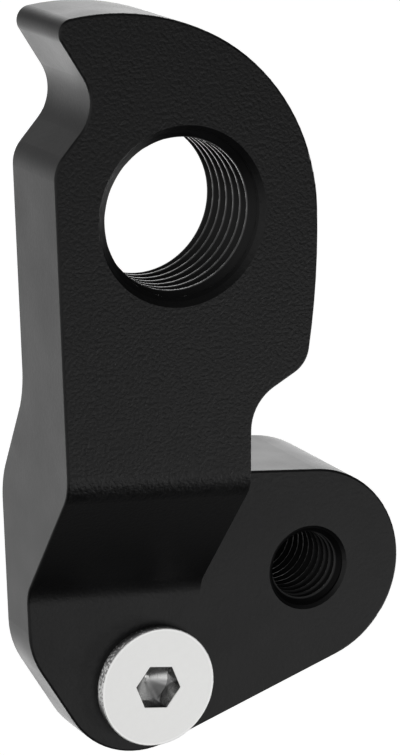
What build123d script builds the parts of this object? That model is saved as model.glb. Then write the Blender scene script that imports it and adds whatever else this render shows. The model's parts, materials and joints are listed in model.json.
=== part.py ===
from build123d import *
import math
import os

# Sizes are in millimetres. The origin is the centre of the derailleur hole on the plate's front
# face. +X is to the right, +Y goes through the plate towards the bicycle's frame, and +Z is up.

# Side view: the plate steps back through the neck to the lower pad
plate_thickness = 6.3
pad_front = 7.0
pad_thickness = 3.4
lobe_thickness = 9.0
bend_height = -15.4
front_slope = 41.0
heel_height = -10.65
back_slope = 32.7
neck_skew = 6.0
bend_round = 2.6
foot_round = 2.2
foot_land = 0.3
heel_round = 5.0
hump_round = 4.5

# Front view of the plate, with its stop hook at the top left
wall_left = -7.84
wall_right = 4.05
wall_lean = 2.2
side_peak = (8.65, -0.5)
crown_join = (2.05, 10.42)
hook_tip = (-7.72, 11.82)
notch_root = (-4.85, 6.9)
stop_knee = (wall_left, 3.7)
shoulder_tip = (7.72, -9.8)
shoulder_root = (wall_right, -11.65)
hook_round = 0.85
notch_round = 2.6
knee_round = 2.0
shoulder_round = 1.8
armpit_round = 2.8

# Front view of the lower pad, drawn tight round four circles: its lobe, toe and left cheek, and
# a root under the neck that gives the top edge its slope
lobe_centre = (11.0, -24.95)
lobe_radius = 6.3
cheek_drop = 1.0
cheek_radius = 5.3
toe_reach = 11.52
toe_drop = 4.52
toe_radius = 5.32
root_reach = 11.0
root_rise = 2.75
root_radius = 5.0
step_gap = 1.1
step_round = 1.5

# Holes, with the threaded ones cut to their threads' nominal radius
derailleur_radius = 5.0
derailleur_break = 0.3
lobe_hole_radius = 2.5
lobe_hole_break = 0.2

# Fixing screw: countersunk head with a hexagon socket and a drilled bottom. A plain neck of the
# thread's pitch radius leads from the cone to the threaded shank, clear of the pad's back.
screw_inset = 0.72
screw_drop = 1.13
shank_radius = 2.0
shank_clearance = 0.15
neck_radius = 1.77
neck_end_gap = 0.2
head_radius = 3.75
head_land = 0.7
head_round = 0.05
screw_length = 8.0
socket_across_flats = 2.6
socket_depth = 1.5
socket_turn = 50.0
drill_point_angle = 118.0
shank_break = 0.3

edge_round = 0.15

# A cutting shape runs this far past the face that it cuts
overshoot = 1.0

pad_back = pad_front + pad_thickness
lobe_back = pad_front + lobe_thickness
skew = math.radians(neck_skew)
foot_height = bend_height - pad_front / math.tan(math.radians(front_slope))
foot_end = foot_height - foot_round * math.tan(math.radians(front_slope / 2)) - foot_land
hump_height = heel_height - (pad_back - plate_thickness) / math.tan(math.radians(back_slope))
pad_top = (hump_height + foot_height) / 2
toe_centre = (lobe_centre[0] - toe_reach, lobe_centre[1] - toe_drop)
cheek_centre = (wall_left + cheek_radius, lobe_centre[1] - cheek_drop)
root_centre = (lobe_centre[0] - root_reach, lobe_centre[1] + root_rise)
screw_centre = (toe_centre[0] + screw_inset, toe_centre[1] - screw_drop)
head_front = pad_front - head_land
cover = 2 * (hook_tip[1] - lobe_centre[1])


def prism(sketch, near, far):
    """Solid between two depths along +Y, with the sketch as its front view."""
    return extrude(Plane.XZ.offset(-near) * sketch, near - far)


def softened(solid, *depths):
    """Round every edge of the solid's flat faces that lie at these depths."""
    for depth in depths:
        face = solid.faces().filter_by(Axis.Y).sort_by(lambda f: abs(f.center().Y - depth))[0]
        solid = fillet(face.edges(), edge_round)
    return solid


def rounded(sketch, corner, radius):
    """Round the sketch's corner that lies nearest to a point."""
    vertex = sketch.vertices().sort_by_distance((corner[0], corner[1], 0))[0]
    return fillet(vertex, radius)


def neck_side(height):
    """Place across of the neck's right wall, which leans in a little towards the pad."""
    return wall_right - (shoulder_root[1] - height) * math.tan(math.radians(wall_lean))


def plate_outline():
    """Front view of the plate and its hook, down to the end of the neck."""
    bottom = foot_end + (wall_left - wall_right) * math.tan(skew) - overshoot
    foot_corner = (neck_side(bottom), bottom)
    flank = TangentArc(side_peak, crown_join, tangent=(0, 1))
    crown = TangentArc(crown_join, hook_tip, tangent=flank % 1)
    side = TangentArc(side_peak, shoulder_tip, tangent=(0, -1))
    left = Polyline(hook_tip, notch_root, stop_knee, (wall_left, bottom), foot_corner)
    right = Polyline(foot_corner, shoulder_root, shoulder_tip)
    edges = flank.edges() + crown.edges() + left.edges() + right.edges() + side.edges()
    outline = Sketch() + make_face(edges)
    outline = rounded(outline, hook_tip, hook_round)
    outline = rounded(outline, notch_root, notch_round)
    outline = rounded(outline, stop_knee, knee_round)
    outline = rounded(outline, shoulder_tip, shoulder_round)
    return rounded(outline, shoulder_root, armpit_round)


def pad_outline():
    """Front view of the lower pad: a tight band round its lobe, toe, left cheek and root."""
    ends = {
        lobe_centre: lobe_radius,
        toe_centre: toe_radius,
        cheek_centre: cheek_radius,
        root_centre: root_radius,
    }
    circles = [Pos(*centre) * Rot(0, 0, 180) * Circle(radius) for centre, radius in ends.items()]
    return Sketch() + make_hull([circle.edge() for circle in circles])


def side_profile():
    """Side view of the plate, neck and the top of the pad, with Y across and Z up."""
    top = hook_tip[1] + hook_round
    corners = {
        (0, bend_height): bend_round,
        (pad_front, foot_height): foot_round,
        (pad_back, hump_height): hump_round,
        (plate_thickness, heel_height): heel_round,
    }
    bend, foot, hump, heel = corners
    points = [(0, top), bend, foot, (pad_front, foot_end), (pad_back, foot_end), hump, heel]
    outline = Sketch() + make_face(Polyline(*points, (plate_thickness, top), close=True).edges())
    for corner, radius in corners.items():
        outline = rounded(outline, corner, radius)
    return outline


def bent_bar():
    """The side profile swept from the left wall, a little downhill to the right."""
    across = (side_peak[0] - wall_left) / math.cos(skew) + overshoot
    direction = (math.cos(skew), 0, -math.sin(skew))
    bar = extrude(Plane.YZ.offset(wall_left) * side_profile(), across, dir=direction)
    end_face = bar.faces().sort_by(Axis.X)[0]
    return fillet(end_face.edges().filter_by(Axis.Y, reverse=True), edge_round)


def hanger_blank():
    """The machined body before its holes."""
    outline = plate_outline()
    plate = softened(prism(outline, 0, plate_thickness), 0, plate_thickness)
    heel_start = heel_height + heel_round * math.tan(math.radians(back_slope / 2))
    neck_front = Pos(wall_left, heel_start) * Rot(0, 0, -neck_skew) * Rectangle(
        cover, cover, align=(Align.CENTER, Align.MAX)
    )
    neck = prism(outline & neck_front, plate_thickness / 2, pad_back)
    bar = bent_bar() & (plate + neck)
    pad_sketch = pad_outline()
    inside = neck_side(pad_top)
    wall = Pos(wall_left, cheek_centre[1]) * Rectangle(
        inside - wall_left, pad_top + overshoot - cheek_centre[1], align=(Align.MIN, Align.MIN)
    )
    pad = softened(prism(pad_sketch + wall, pad_front, pad_back), pad_front, pad_back)
    under_neck = Pos(inside, 0, pad_top)
    pad -= under_neck * Box(cover, cover, cover, align=(Align.MAX, Align.CENTER, Align.MIN))
    lobe_side = Pos(wall_right + step_gap, lobe_centre[1]) * Rectangle(
        cover, cover, align=(Align.MIN, Align.CENTER)
    )
    boss = prism(pad_sketch & lobe_side, pad_front + pad_thickness / 2, lobe_back)
    boss = fillet(boss.edges().filter_by(Axis.Y).group_by(Axis.X)[0], step_round)
    return bar + pad + softened(boss, lobe_back)


def bore(centre, radius, near, far, mouth=0):
    """Cutter for a round hole along Y, flared at 45 degrees at both ends by the mouth's width."""
    place = Pos(centre[0], 0, centre[1])
    profile = Polyline(
        (0, near - overshoot),
        (radius + mouth + overshoot, near - overshoot),
        (radius, near + mouth),
        (radius, far - mouth),
        (radius + mouth + overshoot, far + overshoot),
        (0, far + overshoot),
        close=True,
    )
    return place * revolve(Sketch() + make_face(profile.edges()), Axis.Y)


def screw_seat():
    """Cutter for the fixing screw's countersunk hole through the pad."""
    hole_radius = shank_radius + shank_clearance
    cone_depth = head_radius - hole_radius
    profile = Polyline(
        (0, pad_front - overshoot),
        (head_radius + overshoot, pad_front - overshoot),
        (hole_radius, pad_front + cone_depth),
        (hole_radius, pad_back + overshoot),
        (0, pad_back + overshoot),
        close=True,
    )
    place = Pos(screw_centre[0], 0, screw_centre[1])
    return place * revolve(Sketch() + make_face(profile.edges()), Axis.Y)


def hanger_body():
    """The one machined piece: plate with its hook, neck, pad and thick lobe, and its holes."""
    body = hanger_blank()
    body -= bore((0, 0), derailleur_radius, 0, plate_thickness, derailleur_break)
    body -= bore(lobe_centre, lobe_hole_radius, pad_front, lobe_back, lobe_hole_break)
    return body - screw_seat()


def fixing_screw():
    """Countersunk screw whose cone rests in the pad's seat, with its shank out at the back."""
    cone_end = pad_front + head_radius - neck_radius
    shank_start = pad_back + neck_end_gap
    tip = head_front + screw_length
    profile = Polyline(
        (0, head_front),
        (head_radius - head_round, head_front),
        (head_radius, head_front + head_round),
        (head_radius, pad_front),
        (neck_radius, cone_end),
        (neck_radius, shank_start),
        (shank_radius, shank_start + shank_radius - neck_radius),
        (shank_radius, tip - shank_break),
        (shank_radius - shank_break, tip),
        (0, tip),
        close=True,
    )
    screw = revolve(Sketch() + make_face(profile.edges()), Axis.Y)
    half_flat = socket_across_flats / 2
    corner_radius = half_flat / math.cos(math.radians(30))
    socket_end = head_front + socket_depth
    hexagon = RegularPolygon(corner_radius, 6, rotation=socket_turn)
    screw -= prism(hexagon, head_front, socket_end)
    point = half_flat / math.tan(math.radians(drill_point_angle / 2))
    drilled = Polyline((0, socket_end), (half_flat, socket_end), (0, socket_end + point), close=True)
    screw -= revolve(Sketch() + make_face(drilled.edges()), Axis.Y)
    return Pos(screw_centre[0], 0, screw_centre[1]) * screw


os.makedirs("parts", exist_ok=True)
export_step(hanger_body(), "parts/hanger_body.step")
export_step(fixing_screw(), "parts/fixing_screw.step")
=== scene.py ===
import json
import math

import bmesh
import bpy
from bpy.props import FloatProperty, FloatVectorProperty, PointerProperty
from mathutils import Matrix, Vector


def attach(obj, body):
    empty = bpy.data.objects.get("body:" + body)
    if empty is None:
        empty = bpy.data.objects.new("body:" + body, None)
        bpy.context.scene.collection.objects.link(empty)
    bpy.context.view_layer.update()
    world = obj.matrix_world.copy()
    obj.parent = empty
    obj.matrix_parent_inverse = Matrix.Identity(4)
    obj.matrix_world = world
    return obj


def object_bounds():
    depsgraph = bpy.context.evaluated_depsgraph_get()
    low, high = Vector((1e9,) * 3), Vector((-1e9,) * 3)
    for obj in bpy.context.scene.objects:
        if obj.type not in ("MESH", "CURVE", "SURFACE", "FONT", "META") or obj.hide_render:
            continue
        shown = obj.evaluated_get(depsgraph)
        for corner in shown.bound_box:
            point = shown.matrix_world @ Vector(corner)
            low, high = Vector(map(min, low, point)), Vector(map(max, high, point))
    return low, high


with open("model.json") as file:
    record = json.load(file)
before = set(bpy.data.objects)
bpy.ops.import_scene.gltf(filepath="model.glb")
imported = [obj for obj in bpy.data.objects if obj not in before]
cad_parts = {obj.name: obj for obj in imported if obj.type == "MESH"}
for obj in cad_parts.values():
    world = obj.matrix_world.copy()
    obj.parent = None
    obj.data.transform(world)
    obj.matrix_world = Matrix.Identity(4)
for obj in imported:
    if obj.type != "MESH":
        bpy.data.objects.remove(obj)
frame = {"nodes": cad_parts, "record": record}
cad_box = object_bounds()

bl_info = {
    "name": "Derailleur hanger",
    "version": (1, 0, 0),
    "blender": (4, 5, 0),
    "location": "3D View > Sidebar > Hanger",
    "description": "Finishes, thread ridges and studio for a machined derailleur hanger",
    "category": "Object",
}

MM = 0.001
MOUNTS = {mount["name"]: mount for mount in frame["record"]["mounts"]}

# A metric thread, in shares of its pitch: the height of a hole's ridge and its width at the base
# and the crest, then the depth of a screw's groove and its width at the root
RIDGE_HEIGHT = 0.5413
RIDGE_BASE = 7 / 8
RIDGE_CREST = 1 / 8
GROOVE_DEPTH = 0.6134
GROOVE_ROOT = 1 / 4

# How far the groove's cutter stands out of the shank
CUTTER_COVER = 0.05 * MM

# An edge that turns by more than this stays sharp
SHARP_TURN = math.radians(25)

# A long lens, in millimetres, with its place in metres, its turn in degrees and its picture's
# height in pixels
LENS = 161.764
SENSOR = 36
CAMERA_PLACE = (-0.079687, -0.171679, 0.041824)
CAMERA_TURN = (74.8076, 1.7681, -25.5844)
PICTURE_HEIGHT = 755


# Sizes and colours


def length(name, description, default):
    """A length that is stated in millimetres and kept in metres."""
    return FloatProperty(
        name=name, description=description, default=default * MM, unit="LENGTH", precision=5
    )


def colour(name, description, default):
    """A colour in linear red, green and blue."""
    return FloatVectorProperty(
        name=name, description=description, default=default, subtype="COLOR", size=3, min=0, max=1
    )


def share(name, description, default):
    """A number from nought to one."""
    return FloatProperty(
        name=name, description=description, default=default, min=0, max=1, subtype="FACTOR"
    )


def ratio(name, description, default, lowest=0):
    """A plain number, such as a refractive index or a brightness where 1 is paper white."""
    return FloatProperty(name=name, description=description, default=default, min=lowest)


def power(name, description, default):
    """Power of a soft lamp."""
    return FloatProperty(name=name, description=description, default=default, min=0, unit="POWER")


def spot(name, description, default):
    """A place that is stated in millimetres and kept in metres."""
    place = tuple(step * MM for step in default)
    return FloatVectorProperty(
        name=name, description=description, default=place, size=3, unit="LENGTH", precision=5
    )


class HangerBodyLook(bpy.types.PropertyGroup):
    tint: colour("Anodised colour", "Colour of the dyed black skin", (0.004, 0.004, 0.0043))
    roughness: share("Roughness", "Roughness of the blasted and anodised skin", 0.42)
    cloud_size: length("Cloud size", "Width of one soft cloud in the dye", 3.2)
    cloud_dim: ratio("Cloud dim", "Gain of the colour where the dye is thick", 0.8)
    cloud_bright: ratio("Cloud bright", "Gain of the colour where the dye is thin", 1.25)
    cloud_roughness: share("Cloud roughness", "Spread of the roughness over the clouds", 0.12)
    gloss_index: ratio("Gloss index", "Refractive index of the clear oxide", 1.42, lowest=1)
    thread_index: ratio("Thread index", "Refractive index in the plate's hole", 1.34, lowest=1)
    deep_index: ratio("Deep index", "Refractive index in the lobe's deep hole", 1.18, lowest=1)
    grain_size: length("Grain size", "Width of one blasted dimple", 0.21)
    grain_depth: length("Grain depth", "Depth of the blasted dimples on the plate", 0.023)
    grain_foot: length("Grain foot", "Height below which the dimples are the pad's", -22.0)
    grain_top: length("Grain top", "Height above which the dimples are the plate's", -12.0)
    pad_grain: share("Pad grain", "Depth of the dimples on the pad, as a share", 0.3)
    wall_grain: share("Wall grain", "Depth of the dimples on the walls, as a share", 0.12)
    pit_roughness: share("Pit roughness", "Spread of the roughness over the dimples", 0.2)
    crest_tint: colour("Crest colour", "Colour where a thread's crest is rubbed", (0.14, 0.14, 0.14))
    crest_polish: share("Crest polish", "Roughness that rubbing takes off a crest", 0.22)
    deep_rub: share("Deep rub", "How far the crests at the deep hole's mouth are rubbed", 0.5)
    # Painted shade: the deep hole's crests darken with depth from its mouth, down to black at this
    # depth
    deep_shade_reach: length("Deep reach", "Depth at which the deep hole's crests are black again", 4.5)


class ScrewLook(bpy.types.PropertyGroup):
    tint: colour("Steel colour", "Colour of the plated steel", (0.835, 0.835, 0.825))
    roughness: share("Roughness", "Roughness of the steel between its marks and spots", 0.25)
    spot_size: length("Spot size", "Width of one soft spot in the plating", 0.5)
    spot_dim: ratio("Spot dim", "Gain of the colour where the plating is dull", 0.96)
    spot_bright: ratio("Spot bright", "Gain of the colour where the plating is bright", 1.03)
    spot_roughness: share("Spot roughness", "Roughness that a spot adds", 0.05)
    # Painted shade on the socket's flats and in the drill's cone's dim sector
    socket_shade_tint: colour("Socket colour", "Colour of the socket's flats", (0.46, 0.46, 0.46))
    # Painted highlight: this colour lies in a ring of the width below round the head's face, and over
    # the whole drill's cone
    highlight_tint: colour("Edge colour", "Colour of the rubbed edge of the head", (0.93, 0.93, 0.92))
    edge_width: length("Edge width", "Width of the rubbed edge round the head's face", 0.2)
    socket_reach: length("Socket reach", "Distance from the axis that the socket ends within", 1.6)
    socket_depth: length("Socket depth", "Depth of the socket's flats", 1.5)
    cone_depth: length("Cone depth", "Depth below the flats that holds the drill's cone", 1.0)
    socket_polish: share("Socket polish", "Roughness that the socket lacks", 0.12)
    # The cone's painted shade: a dim sector at its lower right and a darker painted streak within it
    shade_sector_spread: share("Streak spread", "Cosine of half the angle of the cone's dim sector", 0.75)
    shade_core_spread: share("Core spread", "Cosine of half the angle of the dark streak in it", 0.9)
    shade_core_share: share("Core share", "How far the streak is darkened", 0.8)
    head_front: length("Head front", "Depth of the head's front face", 6.3)
    head_land: length("Head land", "Height of the head's rolled side", 0.7)
    head_radius: length("Head radius", "Radius of the head", 3.75)
    # Dark specks and painted shade on the head's rolled side; at half this value, the painted dark
    # streak in the cone
    dirt_and_shade_tint: colour("Dirt colour", "Colour of the specks on the head's side", (0.2, 0.2, 0.2))
    dirt_size: length("Dirt size", "Width of one speck", 0.16)
    # Painted shade: the head's side gets more of the dark colour with each millimetre up
    shade_lean: ratio("Dirt lean", "How much thicker the specks are with each millimetre up", 0.07)
    ring_size: length("Turning mark size", "Width of one turning mark on the head", 0.06)
    ring_depth: length("Turning mark depth", "Depth of the turning marks", 0.001)
    ring_roughness: share("Turning mark roughness", "Roughness that a turning mark adds", 0.06)
    socket_rings: ratio("Socket marks", "How much deeper the marks are in the socket", 5.0)


class ThreadSizes(bpy.types.PropertyGroup):
    derailleur_pitch: length("Derailleur pitch", "Pitch of the derailleur hole's thread", 0.9)
    derailleur_start: share("Derailleur start", "Turn at which a crest meets the front face", 0.1)
    derailleur_run_out: length(
        "Derailleur run-out", "Reach of the thread into the back edge's break", 0.27
    )
    derailleur_rub: length("Derailleur rub", "Width over which a rubbed crest fades", 0.05)
    frame_pitch: length("Frame pitch", "Pitch of the frame hole's thread", 0.7)
    frame_start: share("Frame start", "Turn at which a crest meets the front face", 0.8)
    frame_rub: length("Frame rub", "Width over which a rubbed crest fades", 0.12)
    screw_pitch: length("Screw pitch", "Pitch of the fixing screw's thread", 0.7)
    skin: length("Skin", "How far the ridges' sleeve lies off the hole's wall", 0.012)


class StudioSizes(bpy.types.PropertyGroup):
    floor_drop: length("Floor drop", "Distance from the part's lowest point to the floor", 20.0)
    low_left: ratio("Low left", "Brightness low behind the part, at the left", 0.9)
    low_right: ratio("Low right", "Brightness low behind the part, at the right", 2.7)
    high_left: ratio("High left", "Brightness high behind the part, at the left", 0.34)
    high_right: ratio("High right", "Brightness high behind the part, at the right", 2.4)
    front_left: ratio("Front left", "Brightness of the studio at the left before the part", 0.65)
    front_right: ratio("Front right", "Brightness of the studio at the right before the part", 0.22)
    overhead: ratio("Overhead", "Brightness above the part", 0.1)
    under: ratio("Underneath", "Brightness straight below the part", 0.001)
    shelf: ratio("Shelf", "Brightness below and behind the part", 0.2)
    floor_glow: ratio("Floor glow", "Brightness that the floor adds to its lit colour", 0.9)
    floor_tint: colour("Floor colour", "Colour of the floor where light falls", (0.4, 0.4, 0.4))
    card_place: spot("Card place", "Place of the broad soft lamp before the part", (67, -145, -91))
    card_size: length("Card size", "Width of the broad soft lamp", 100.0)
    card_power: power("Card power", "Power of the broad soft lamp", 0.0262)
    key_place: spot("Key place", "Place of the low soft lamp at the right", (160, -70, -120))
    key_size: length("Key size", "Width of the low soft lamp", 50.0)
    key_power: power("Key power", "Power of the low soft lamp", 0.07)


# Shader maths


class Signal:
    """The output of a shader node, used like a number, a vector or a colour."""

    def __init__(self, shader, socket):
        self.shader = shader
        self.socket = socket

    def math(self, operation, first, second):
        return self.shader.node("ShaderNodeMath", {"operation": operation}, {0: first, 1: second})

    def __add__(self, other):
        return self.math("ADD", self, other)

    def __sub__(self, other):
        return self.math("SUBTRACT", self, other)

    def __rsub__(self, other):
        return self.math("SUBTRACT", other, self)

    def __mul__(self, other):
        return self.math("MULTIPLY", self, other)

    __radd__ = __add__
    __rmul__ = __mul__


class Shader:
    """The node tree of a material or a world, written as expressions."""

    def __init__(self, tree):
        self.tree = tree
        tree.nodes.clear()

    def node(self, kind, settings=None, values=None, output=0):
        """Add a node: its settings come first, then the values or links of its sockets."""
        node = self.tree.nodes.new(kind)
        for name, value in (settings or {}).items():
            setattr(node, name, value)
        for name, value in (values or {}).items():
            if isinstance(value, Signal):
                self.tree.links.new(value.socket, node.inputs[name])
            else:
                node.inputs[name].default_value = value
        return Signal(self, node.outputs[output]) if node.outputs else None

    def blend(self, factor, first, second):
        """Mix of two colours, first where the factor is 0 and second where it is 1."""
        colours = {"Factor": factor, 6: first, 7: second}
        return self.node("ShaderNodeMix", {"data_type": "RGBA"}, colours, output=2)

    def ramp(self, factor, low, high, smooth=True):
        """0 below low, 1 above high, and a slope between them."""
        kind = "SMOOTHSTEP" if smooth else "LINEAR"
        return self.node(
            "ShaderNodeMapRange",
            {"interpolation_type": kind},
            {"Value": factor, "From Min": low, "From Max": high},
        )

    def place(self):
        """Position on the piece, in millimetres in the part's frame."""
        position = self.node("ShaderNodeTexCoord", output="Object")
        return self.node(
            "ShaderNodeVectorMath", {"operation": "SCALE"}, {0: position, "Scale": 1 / MM}
        )

    def split(self, vector):
        """The three parts of a vector."""
        parts = self.node("ShaderNodeSeparateXYZ", None, {0: vector}).socket.node
        return [Signal(self, socket) for socket in parts.outputs]

    def noise(self, vector, size, detail=2.0):
        """Soft random spots of about this size in millimetres."""
        return self.node(
            "ShaderNodeTexNoise", None, {"Vector": vector, "Scale": 1 / size, "Detail": detail}
        )


def new_material(name):
    material = bpy.data.materials.new(name)
    material.use_nodes = True
    return material, Shader(material.node_tree)


def rgba(tint, gain=1.0):
    """A colour property as a shader colour, brightened by the gain."""
    return (tint[0] * gain, tint[1] * gain, tint[2] * gain, 1)


def surface(shader, values):
    """Principled surface with these socket values, led to the material's output."""
    principled = shader.node("ShaderNodeBsdfPrincipled", None, values)
    shader.node("ShaderNodeOutputMaterial", None, {"Surface": principled})


def bumped(shader, height, depth):
    """Surface normal of a relief whose height is told in steps of this depth in metres."""
    return shader.node(
        "ShaderNodeBump", None, {"Strength": 1.0, "Distance": depth, "Height": height}
    )


def axis_distance(shader, place, centre):
    """Distance in millimetres from the line along +Y through a mount's centre."""
    offset = shader.node(
        "ShaderNodeVectorMath",
        {"operation": "SUBTRACT"},
        {0: place, 1: (centre[0] / MM, 0, centre[2] / MM)},
    )
    flat = shader.node(
        "ShaderNodeVectorMath", {"operation": "MULTIPLY"}, {0: offset, 1: (1, 0, 1)}
    )
    return shader.node("ShaderNodeVectorMath", {"operation": "LENGTH"}, {0: flat}, output="Value")


def anodised_black(look, name, thread=None):
    """Blasted, black anodised aluminium. A thread is (mount, crest radius and rubbed width in mm)."""
    material, shader = new_material(name)
    place = shader.place()
    depth, height = shader.split(place)[1:]

    # The dimples are full on the plate's faces, and weaker on the pad and on the walls
    grain = shader.ramp(shader.noise(place, look.grain_size / MM, 1.0), 0.25, 0.75, smooth=False)
    plate = shader.ramp(height, look.grain_foot / MM, look.grain_top / MM)
    strength = plate * (1 - look.pad_grain) + look.pad_grain
    facing = shader.split(shader.node("ShaderNodeTexCoord", output="Normal"))[1]
    flat = shader.ramp(facing * facing, 0.2, 0.9)
    strength = strength * (flat * (1 - look.wall_grain) + look.wall_grain)

    cloud = shader.noise(place, look.cloud_size / MM)
    tint = shader.blend(cloud, rgba(look.tint, look.cloud_dim), rgba(look.tint, look.cloud_bright))
    roughness = look.roughness + look.cloud_roughness * (cloud - 0.5)
    index = look.gloss_index
    if thread:
        mount, radius, width = thread
        rubbed = shader.ramp(axis_distance(shader, place, mount["pos_m"]), radius + width, radius)
        index = look.thread_index
        if mount["name"] == "frame_thread":
            index = look.deep_index
            # In the deep hole the crests get painted shade: their rubbed colour fades with depth from
            # the mouth, so from here rubbed holds both the wear and this painted shade
            mouth = wall_span(mount)[0] / MM
            shade_with_depth = shader.ramp(depth, mouth + look.deep_shade_reach / MM, mouth)
            rubbed = look.deep_rub * rubbed * shade_with_depth
        tint = shader.blend(rubbed, tint, rgba(look.crest_tint))
        roughness = roughness - look.crest_polish * rubbed
        strength = look.wall_grain
    values = {
        "Base Color": tint,
        "Roughness": roughness + look.pit_roughness * (grain - 0.5) * strength,
        "IOR": index,
        "Normal": bumped(shader, grain * strength, look.grain_depth),
    }
    surface(shader, values)
    return material


def socket_masks(look, shader, radius, depth):
    """Where the socket is, and where its flats and the drill's cone at its end are.

    The radius and the depth are in millimetres, and so are the masks' short soft borders.
    """
    reach, floor = look.socket_reach / MM, look.socket_depth / MM
    deepest = floor + look.cone_depth / MM
    within = shader.ramp(radius, reach + 0.1, reach)
    socket = within * shader.ramp(depth, 0.02, 0.12) * shader.ramp(depth, deepest + 0.2, deepest)
    flats = socket * shader.ramp(depth, floor + 0.02, floor - 0.06)
    return socket, flats, socket - flats


def turned_steel(look, centre):
    """Bright plated steel with fine turning rings round the screw's axis."""
    material, shader = new_material("turned_steel")
    place = shader.place()
    radius = axis_distance(shader, place, centre)
    across, depth, up = shader.split(place)
    across, up = across - centre[0] / MM, up - centre[2] / MM
    depth = depth - look.head_front / MM
    rings = shader.node(
        "ShaderNodeTexNoise",
        {"noise_dimensions": "1D"},
        {"W": radius, "Scale": MM / look.ring_size, "Detail": 2.0},
    )
    spots = shader.noise(place, look.spot_size / MM, 3.0)
    tint = shader.blend(spots, rgba(look.tint, look.spot_dim), rgba(look.tint, look.spot_bright))

    # The drill's cone is painted in the highlight colour, with painted shade in a dim sector at its
    # lower right and a darker painted streak in it
    socket, flats, cone = socket_masks(look, shader, radius, depth)
    slant = 0.7 * (across - up)
    streak = cone * shader.ramp(slant - look.shade_sector_spread * radius, 0, 0.15)
    core = cone * shader.ramp(slant - look.shade_core_spread * radius, 0, 0.08)
    tint = shader.blend(cone, tint, rgba(look.highlight_tint))
    tint = shader.blend(flats + streak, tint, rgba(look.socket_shade_tint))
    tint = shader.blend(look.shade_core_share * core, tint, rgba(look.dirt_and_shade_tint, 0.5))

    # The head's face has a painted highlight round its edge, and its rolled side has dark specks with
    # painted shade that grows towards the top
    side = look.head_radius / MM
    edge = shader.ramp(radius, side - look.edge_width / MM, side - 0.08) * shader.ramp(depth, 0.1, 0.04)
    rim = shader.ramp(radius, side - 0.04, side - 0.01)
    # Dark specks on the rolled side, with painted shade that grows towards the top
    dirt_and_shade = rim * shader.ramp(
        shader.noise(place, look.dirt_size / MM) + look.shade_lean * up, 0.48, 0.7
    )
    tint = shader.blend(edge, tint, rgba(look.highlight_tint))
    tint = shader.blend(dirt_and_shade, tint, rgba(look.dirt_and_shade_tint))
    roll = rim * shader.ramp(depth, 0, look.head_land / MM, smooth=False)
    marks = rings * (look.socket_rings * socket + 1) + roll * (look.head_land / look.ring_depth)
    roughness = look.roughness + look.ring_roughness * rings + look.spot_roughness * spots
    values = {
        "Base Color": tint,
        "Metallic": 1.0,
        "Roughness": roughness - look.socket_polish * socket,
        "Normal": bumped(shader, marks, look.ring_depth),
    }
    surface(shader, values)
    return material


# Meshes


def new_piece(name, points, faces, material, slot_name):
    """A mesh object, which rides on the part's only body when it has a finish's slot."""
    mesh = bpy.data.meshes.new(name)
    mesh.from_pydata(points, [], faces)
    work = bmesh.new()
    work.from_mesh(mesh)
    bmesh.ops.recalc_face_normals(work, faces=work.faces)
    work.to_mesh(mesh)
    work.free()
    mesh.shade_smooth()
    mesh.set_sharp_from_angle(angle=SHARP_TURN)
    mesh.materials.append(material)
    piece = bpy.data.objects.new(name, mesh)
    bpy.context.scene.collection.objects.link(piece)
    if slot_name:
        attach(piece, "root")
    return piece


def ridge_height(phase):
    """Height of a 60 degree thread ridge at a phase of its pitch, as a share of its full height."""
    away = abs((phase + 0.5) % 1 - 0.5)
    base, crest = RIDGE_BASE / 2, RIDGE_CREST / 2
    return min(1, max(0, (base - away) / (base - crest)))


def thread_liner(name, mount, pitch, first_crest, run_out, skin, material):
    """Sleeve on a threaded hole's wall, its inner face cut as the thread's ridges."""
    nominal = mount["dims"]["r_mm"] * MM
    centre = Vector(mount["pos_m"])
    start, wall_end = wall_span(mount)
    end = wall_end + run_out
    height = RIDGE_HEIGHT * pitch
    around, per_pitch = 144, 32
    rows = round((end - start) / pitch * per_pitch)
    points = []
    for row in range(rows + 1):
        depth = start + (end - start) * row / rows
        mouth = nominal - (depth - start)
        for step in range(around):
            turn = 2 * math.pi * step / around
            phase = depth / pitch + step / around - first_crest
            rise = ridge_height(phase)
            if run_out:
                rise = max(rise, 1 - (end - depth) / run_out)
            ridge = nominal - skin - height * rise
            points.append(ring_point(centre, max(ridge, mouth), turn, depth))
    for depth, radius in ((end, nominal + run_out), (wall_end, nominal), (start, nominal)):
        for step in range(around):
            turn = 2 * math.pi * step / around
            points.append(ring_point(centre, radius + skin, turn, depth))
    faces = grid_faces(rows + 3, around)
    last = len(points) - around
    for step in range(around):
        after = (step + 1) % around
        faces.append((last + step, last + after, after, step))
    return new_piece(name, points, faces, material, "black_anodised")


def wall_span(mount):
    """First and last depth along +Y of a threaded wall, whose mount lies at its mouth or middle."""
    depth, span = mount["pos_m"][1], mount["dims"]["length_mm"] * MM
    if mount["name"] == "derailleur_thread":
        return depth, depth + span
    return depth - span / 2, depth + span / 2


def ring_point(centre, radius, turn, depth):
    """Point at a depth along +Y, on a circle round a mount's axis."""
    return (centre.x + radius * math.cos(turn), depth, centre.z + radius * math.sin(turn))


def grid_faces(rows, around):
    """Quads between rings of points, each ring with the same number of points."""
    faces = []
    for row in range(rows):
        for step in range(around):
            after = (step + 1) % around
            near, far = row * around, (row + 1) * around
            faces.append((near + step, near + after, far + after, far + step))
    return faces


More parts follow.
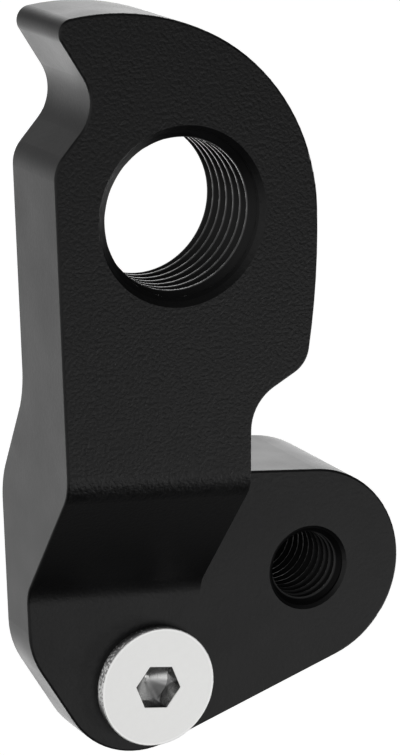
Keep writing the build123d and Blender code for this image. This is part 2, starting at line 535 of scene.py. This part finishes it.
def screw_groove(mount, pitch):
    """Helical cutter for the groove of the screw's thread."""
    nominal = mount["dims"]["r_mm"] * MM
    centre = Vector(mount["pos_m"])
    span = mount["dims"]["length_mm"] * MM
    lead_in, lead_out = pitch, 1.5 * pitch
    start = centre.y - span / 2 - lead_in
    around = 64
    steps = int((span + lead_in + lead_out) / pitch * around)
    slope = math.tan(math.radians(30))
    root = nominal - GROOVE_DEPTH * pitch
    reach = nominal + CUTTER_COVER
    root_half = GROOVE_ROOT * pitch / 2
    reach_half = root_half + (reach - root) * slope
    profile = ((root, -root_half), (root, root_half), (reach, reach_half), (reach, -reach_half))
    points = []
    for step in range(steps + 1):
        turn = -2 * math.pi * step / around
        depth = start + pitch * step / around
        for radius, along in profile:
            points.append(ring_point(centre, radius, turn, depth + along))
    faces = [(0, 1, 2, 3), tuple(4 * steps + k for k in (3, 2, 1, 0))]
    for step in range(steps):
        for k in range(4):
            after = (k + 1) % 4
            near, far = 4 * step, 4 * (step + 1)
            faces.append((near + k, near + after, far + after, far + k))
    return points, faces


# Operators


class HANGER_OT_body(bpy.types.Operator):
    """Finish the machined body in blasted black anodising"""

    bl_idname = "hanger.body"
    bl_label = "Finish the body"

    def execute(self, context):
        material = anodised_black(context.scene.hanger_body, "black_anodised")
        frame["nodes"]["hanger_body"].material_slots[0].material = material
        return {"FINISHED"}


class HANGER_OT_threads(bpy.types.Operator):
    """Cut the threads of the derailleur hole and the frame hole"""

    bl_idname = "hanger.threads"
    bl_label = "Thread the holes"

    def execute(self, context):
        sizes = context.scene.hanger_threads
        look = context.scene.hanger_body
        holes = {
            "derailleur_thread": (
                sizes.derailleur_pitch,
                sizes.derailleur_start,
                sizes.derailleur_run_out,
                sizes.derailleur_rub,
            ),
            "frame_thread": (sizes.frame_pitch, sizes.frame_start, 0, sizes.frame_rub),
        }
        for name, (pitch, start, run_out, rub) in holes.items():
            mount = MOUNTS[name]
            crest = mount["dims"]["r_mm"] - RIDGE_HEIGHT * pitch / MM
            material = anodised_black(look, name + "_finish", (mount, crest, rub / MM))
            thread_liner(name + "_ridges", mount, pitch, start, run_out, sizes.skin, material)
        return {"FINISHED"}


class HANGER_OT_screw(bpy.types.Operator):
    """Finish the fixing screw in turned steel and cut its thread"""

    bl_idname = "hanger.screw"
    bl_label = "Finish the screw"

    def execute(self, context):
        mount = MOUNTS["screw_shank"]
        screw = frame["nodes"]["fixing_screw"]
        screw.material_slots[0].material = turned_steel(context.scene.hanger_screw, mount["pos_m"])
        points, faces = screw_groove(mount, context.scene.hanger_threads.screw_pitch)
        cutter = new_piece("screw_groove", points, faces, screw.material_slots[0].material, None)
        cutter.hide_render = True
        cutter.hide_viewport = True
        cut = screw.modifiers.new("thread", "BOOLEAN")
        cut.operation = "DIFFERENCE"
        cut.solver = "EXACT"
        cut.object = cutter
        return {"FINISHED"}


class HANGER_OT_studio(bpy.types.Operator):
    """Set up the pale floor, the soft light and the camera"""

    bl_idname = "hanger.studio"
    bl_label = "Set up the studio"

    def execute(self, context):
        sizes = context.scene.hanger_studio
        lay_floor(sizes)
        light_world(context.scene, sizes)
        hang_lamp("card", sizes.card_place, sizes.card_size, sizes.card_power)
        hang_lamp("key", sizes.key_place, sizes.key_size, sizes.key_power)
        place_camera(context.scene)
        context.scene.view_settings.view_transform = "Standard"
        return {"FINISHED"}


def lay_floor(sizes):
    """Pale floor that shows white to the camera and keeps the part's shadow."""
    height = cad_box[0].z - sizes.floor_drop
    reach = 3.0
    corners = [
        (x * reach, y * reach, height) for x, y in ((-1, -1), (1, -1), (1, 1), (-1, 1))
    ]
    material, shader = new_material("pale_floor")
    lit = shader.node("ShaderNodeBsdfDiffuse", None, {"Color": rgba(sizes.floor_tint)})
    white = {"Color": (1, 1, 1, 1), "Strength": sizes.floor_glow}
    glow = shader.node("ShaderNodeEmission", None, white)
    shown = shader.node("ShaderNodeAddShader", None, {0: lit, 1: glow})
    shader.node("ShaderNodeOutputMaterial", None, {"Surface": shown})
    floor = new_piece("floor", corners, [(0, 1, 2, 3)], material, None)
    floor.visible_glossy = False
    floor.visible_diffuse = False
    floor.visible_shadow = False


def light_world(scene, sizes):
    """Studio walls: bright behind the part, dimmer before it and dark below but for a low shelf."""
    world = bpy.data.worlds.new("studio")
    scene.world = world
    world.use_nodes = True
    shader = Shader(world.node_tree)
    direction = shader.node("ShaderNodeTexCoord", output="Generated")
    across, depth, height = shader.split(direction)

    # Each soft border runs between two parts of a direction of length 1
    behind = shader.ramp(depth, 0.35, 0.8)
    raised = shader.ramp(height, -0.2, 0.25)
    right = shader.ramp(across, -0.2, 0.3)
    low_right = shader.ramp(across, -0.38, 0.0)
    far_right = shader.ramp(across, 0.55, 0.8)
    sunk = shader.ramp(height, -0.35, -0.6)
    above = shader.ramp(height, 0.4, 0.8)
    below = shader.ramp(height, -0.5, -0.75)
    shelf = shader.ramp(depth, 0.0, 0.25)

    high = right * (sizes.high_right - sizes.high_left) + sizes.high_left
    low = low_right * (sizes.low_right - sizes.low_left) + sizes.low_left
    back = raised * high + (1 - raised) * low
    front = right * (sizes.front_right - sizes.front_left) + sizes.front_left
    around = behind * back + (1 - behind) * (1 - far_right) * (1 - sunk) * front
    walls = above * sizes.overhead + (1 - above) * around
    ground = shelf * sizes.shelf + sizes.under
    shown = below * ground + (1 - below) * walls
    seen = shader.node("ShaderNodeLightPath", output="Is Camera Ray")
    white = shader.node("ShaderNodeBackground", None, {"Color": (1, 1, 1, 1), "Strength": 1.0})
    lit = shader.node("ShaderNodeBackground", None, {"Color": (1, 1, 1, 1), "Strength": shown})
    mixed = shader.node("ShaderNodeMixShader", None, {"Fac": seen, 1: lit, 2: white})
    shader.node("ShaderNodeOutputWorld", None, {"Surface": mixed})


def hang_lamp(name, place, size, watts):
    """Soft square lamp at a place, turned towards the part's middle."""
    light = bpy.data.lights.new(name, "AREA")
    light.size = size
    light.energy = watts
    lamp = bpy.data.objects.new(name, light)
    bpy.context.scene.collection.objects.link(lamp)
    lamp.location = place
    middle = (cad_box[0] + cad_box[1]) / 2
    lamp.rotation_euler = (middle - Vector(place)).to_track_quat("-Z", "Y").to_euler()
    lamp.visible_camera = False


def place_camera(scene):
    """Long lens to the left of the part, a little above it."""
    camera = bpy.data.cameras.new("camera")
    half_pixel = 0.5 / PICTURE_HEIGHT
    camera.sensor_width = SENSOR
    camera.lens = LENS
    camera.shift_x = -half_pixel
    camera.shift_y = half_pixel
    camera.clip_start = 0.01
    camera.clip_end = 20
    holder = bpy.data.objects.new("camera", camera)
    scene.collection.objects.link(holder)
    holder.location = CAMERA_PLACE
    holder.rotation_euler = [math.radians(turn) for turn in CAMERA_TURN]
    scene.camera = holder


class HANGER_PT_panel(bpy.types.Panel):
    """The steps that dress the derailleur hanger"""

    bl_idname = "HANGER_PT_panel"
    bl_label = "Derailleur hanger"
    bl_space_type = "VIEW_3D"
    bl_region_type = "UI"
    bl_category = "Hanger"

    def draw(self, context):
        for group in ("hanger_body", "hanger_screw", "hanger_threads", "hanger_studio"):
            box = self.layout.box()
            sizes = getattr(context.scene, group)
            for name in sizes.bl_rna.properties.keys():
                if name not in ("rna_type", "name"):
                    box.prop(sizes, name)
        for step in STEPS:
            self.layout.operator(step.bl_idname)


GROUPS = {
    "hanger_body": HangerBodyLook,
    "hanger_screw": ScrewLook,
    "hanger_threads": ThreadSizes,
    "hanger_studio": StudioSizes,
}
STEPS = (HANGER_OT_body, HANGER_OT_threads, HANGER_OT_screw, HANGER_OT_studio)


def register():
    for kind in (*GROUPS.values(), *STEPS, HANGER_PT_panel):
        bpy.utils.register_class(kind)
    for name, kind in GROUPS.items():
        setattr(bpy.types.Scene, name, PointerProperty(type=kind))


def unregister():
    for name in GROUPS:
        delattr(bpy.types.Scene, name)
    for kind in reversed((*GROUPS.values(), *STEPS, HANGER_PT_panel)):
        bpy.utils.unregister_class(kind)


def main():
    register()
    for step in STEPS:
        family, name = step.bl_idname.split(".")
        getattr(getattr(bpy.ops, family), name)()
    bpy.context.view_layer.update()


if __name__ == "__main__":
    main()
